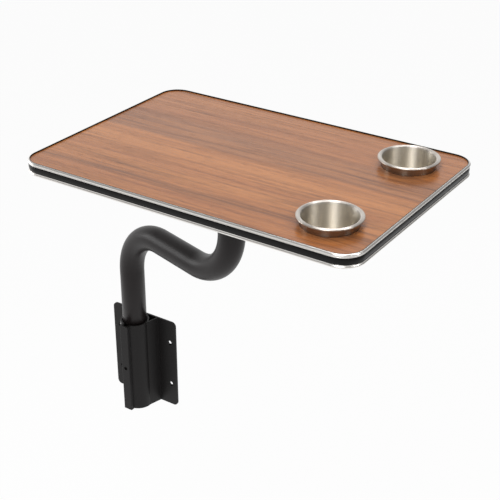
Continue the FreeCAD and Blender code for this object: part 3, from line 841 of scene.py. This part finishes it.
weld = {
    "radius": 1.9 * mm,
    "beads": 46,
    "ripple": 0.16,
    "sides": 10,
    "steps": 276,
    "hubWall": 3.5 * mm,
    "plate": 4.0 * mm,
    "offset": 0.4 * mm,  # of the bead's middle from the hub's wall and the plate's lower face
}


def makeHubWeld():
    # the welded seam where the hub meets the flange plate
    axis = middleOf("thrust_disc")
    bushLow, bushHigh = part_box("upper_hub_bush")
    hubRadius = (bushHigh.x - bushLow.x) / 2 + weld["hubWall"]
    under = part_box("swivel_flange")[1].z - weld["plate"]
    tree, book, given = newTree("weld_bead", {
        "Ring radius": "NodeSocketFloat", "Bead radius": "NodeSocketFloat", "Beads": "NodeSocketInt",
        "Ripple": "NodeSocketFloat", "Middle": "NodeSocketVector",
    })
    ring = book.add("GeometryNodeCurvePrimitiveCircle", None, {
        "Resolution": weld["steps"], "Radius": given.other("Ring radius"),
    })
    spot = book.add("GeometryNodeSplineParameter", None, None, "Factor")
    turns = spot * given.other("Beads") * (2 * math.pi)
    wave = book.add("ShaderNodeMath", {"operation": "SINE"}, {0: turns})
    size = 1.0 + wave * given.other("Ripple")
    section = book.add("GeometryNodeCurvePrimitiveCircle", None, {
        "Resolution": weld["sides"], "Radius": given.other("Bead radius"),
    })
    swept = book.add("GeometryNodeCurveToMesh", None, {
        "Curve": ring, "Profile Curve": section, "Scale": size,
    })
    placed = book.add("GeometryNodeTransform", None, {
        "Geometry": swept, "Translation": given.other("Middle"),
    })
    smooth = book.add("GeometryNodeSetShadeSmooth", None, {0: placed})
    closeTree(book, smooth, powderPaint)
    piece = grow("hub_weld", tree, {
        "Ring radius": hubRadius + weld["offset"], "Bead radius": weld["radius"], "Beads": weld["beads"],
        "Ripple": weld["ripple"], "Middle": (axis.x, axis.y, under - weld["offset"]),
    })
    keep(piece, "tabletop", "tube_black")


eased = {
    "bracketWidth": 0.5 * mm,
    "flangeWidth": 0.6 * mm,
    "steps": 3,
    "sharpness": 32.0,
    "mergeWithin": 0.002 * mm,
    "flatWithin": 0.6,  # degrees
}


def dressedCopy(name, node, paint, width):
    # a merged copy of a solid with eased edges, so that they catch the light
    shape = bmesh.new()
    shape.from_mesh(nodes[node].data)
    bmesh.ops.remove_doubles(shape, verts=shape.verts, dist=eased["mergeWithin"])
    flat = math.radians(eased["flatWithin"])
    bmesh.ops.dissolve_limit(shape, angle_limit=flat, verts=shape.verts, edges=shape.edges)
    piece = shapePiece(name, shape, paint)
    bevel = piece.modifiers.new("eased", "BEVEL")
    bevel.width = width
    bevel.segments = eased["steps"]
    bevel.limit_method = "ANGLE"
    bevel.angle_limit = math.radians(eased["sharpness"])
    bevel.use_clamp_overlap = True
    piece = settle(piece)
    sharpen(piece, eased["sharpness"])
    even = piece.modifiers.new("even", "WEIGHTED_NORMAL")  # flat faces stay flat beside eased edges
    even.keep_sharp = True
    return settle(piece)


def dressNode(node, paint):
    nodes[node].data.materials.clear()
    nodes[node].data.materials.append(paint)


makeArmTube()
makeEdgeTrim()
makeCup("front_cup_shell", "front_cup")
makeCup("rear_cup_shell", "rear_cup")
makeFlangeScrews()
makeHubWeld()
bracketPiece = dressedCopy("clamp_bracket", "wall_bracket", anodisedPaint, eased["bracketWidth"])
keep(bracketPiece, "wall_bracket", "bracket_black", "wall_bracket")
mountPiece = dressedCopy("swivel_mount", "swivel_flange", powderPaint, eased["flangeWidth"])
keep(mountPiece, "tabletop", "tube_black", "swivel_flange")

finishes = {
    "tabletop_panel": walnutPaint, "clamp_nut": zincPaint,
    "clamp_screw": oxidePaint, "lock_screw": oxidePaint,
}
replacedNodes = [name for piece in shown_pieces() for name in piece.get("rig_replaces", [])]
for nodeName in nodes:
    if nodeName not in replacedNodes:
        dressNode(nodeName, finishes.get(nodeName, nylonPaint))
print("solids dressed")


studio = {
    "white": (1.0, 1.0, 1.0, 1.0),
    "floorHeight": -0.75,
    "floorHalf": 20.0,
    "floorTone": (0.9, 0.9, 0.9, 1.0),
    "floorWhite": 0.95,  # share of plain white where the camera or a mirror sees the floor
    "floorFade": (6.0, 8.8),
    "floorShade": 0.12,
    "skyRise": (0.35, 0.85),
    "skyLow": 1.0,
    "skyHigh": 0.26,
    "lean": 0.8,  # share of y in the way to the right of the picture
    "rightFade": (0.45, 1.1),
    "rightShade": 0.22,
    "frontFade": (-0.5, 0.1),
    "frontShade": 0.42,
}


def makeFloor():
    reach, height = studio["floorHalf"], studio["floorHeight"]
    mesh = bpy.data.meshes.new("floor")
    corners = [(-reach, -reach), (reach, -reach), (reach, reach), (-reach, reach)]
    mesh.from_pydata([(x, y, height) for x, y in corners], [], [(0, 1, 2, 3)])
    paint, book, place = newPaint("pale_floor")
    spot = book.add("ShaderNodeSeparateXYZ", None, {0: place})
    far = spot.other("X") + spot.other("Y") * studio["lean"]
    fade = book.steps(far, *studio["floorFade"], 1.0, studio["floorShade"])
    path = book.add("ShaderNodeLightPath", None, None, "Is Camera Ray")
    seen = path.most(path.other("Is Glossy Ray")).most(path.other("Is Transmission Ray"))
    matt = book.add("ShaderNodeBsdfDiffuse", None, {"Color": studio["floorTone"]})
    glow = fade + path * (1.0 - fade)
    white = book.add("ShaderNodeEmission", None, {"Color": studio["white"], "Strength": glow})
    blend = book.add("ShaderNodeMixShader", None, {0: seen * studio["floorWhite"], 1: matt, 2: white})
    book.add("ShaderNodeOutputMaterial", None, {"Surface": blend})
    mesh.materials.append(paint)
    link("floor", mesh)


def makeSky():
    world = bpy.data.worlds.new("studio")
    bpy.context.scene.world = world
    world.use_nodes = True
    world.node_tree.nodes.clear()
    book = NodeBook(world.node_tree)
    way = book.add("ShaderNodeTexCoord", None, None, "Generated")
    facing = book.add("ShaderNodeSeparateXYZ", None, {0: way})
    level = book.steps(facing.other("Z"), *studio["skyRise"], studio["skyLow"], studio["skyHigh"])
    far = facing.other("X") + facing.other("Y") * studio["lean"]
    level = level * book.steps(far, *studio["rightFade"], 1.0, studio["rightShade"])
    level = level * book.steps(facing.other("Y"), *studio["frontFade"], studio["frontShade"], 1.0)
    path = book.add("ShaderNodeLightPath", None, None, "Is Camera Ray")
    strength = level + path * (1.0 - level)
    light = book.add("ShaderNodeBackground", None, {"Color": studio["white"], "Strength": strength})
    book.add("ShaderNodeOutputWorld", None, {"Surface": light})


lamps = {  # place, aim, width, height, watts
    "key": ((0.85, -1.75, 2.75), (0.45, -0.2, 0.6), 0.9, 1.6, 36.0),
    "back": ((0.25, 0.75, 3.0), (0.45, -0.2, 0.6), 1.6, 0.9, 26.0),
    "side": ((2.25, 0.15, 2.55), (0.45, -0.2, 0.6), 0.5, 1.2, 13.0),
    "left": ((-1.6, -0.8, 0.85), (0.2, -0.1, 0.35), 0.9, 0.9, 11.0),
}


def makeLamps():
    for name, (spot, aim, width, height, watts) in lamps.items():
        data = bpy.data.lights.new(name, "AREA")
        data.shape = "RECTANGLE"
        data.size, data.size_y = width, height
        data.energy = watts
        lamp = bpy.data.objects.new(name, data)
        lamp.location = spot
        lamp.rotation_euler = (Vector(aim) - Vector(spot)).to_track_quat("-Z", "Y").to_euler()
        bpy.context.scene.collection.objects.link(lamp)


camera = {
    "spot": (1.3513, -1.6338, 1.3718),
    "azimuth": 33.482,
    "elevation": 27.892,
    "roll": 0.092,
    "lens": 82.31,
    "sensor": 36.0,
}


def makeCamera():
    data = bpy.data.cameras.new("photo_camera")
    data.lens, data.sensor_width = camera["lens"], camera["sensor"]
    eye = bpy.data.objects.new("photo_camera", data)
    turn = Matrix.Rotation(math.radians(camera["azimuth"]), 4, "Z")
    tilt = Matrix.Rotation(math.radians(90.0 - camera["elevation"]), 4, "X")
    roll = Matrix.Rotation(math.radians(camera["roll"]), 4, "Z")
    eye.matrix_world = Matrix.Translation(camera["spot"]) @ turn @ tilt @ roll
    bpy.context.scene.collection.objects.link(eye)
    bpy.context.scene.camera = eye


makeFloor()
makeSky()
makeLamps()
makeCamera()
bpy.context.scene.view_settings.view_transform = "Standard"
print("studio lit")
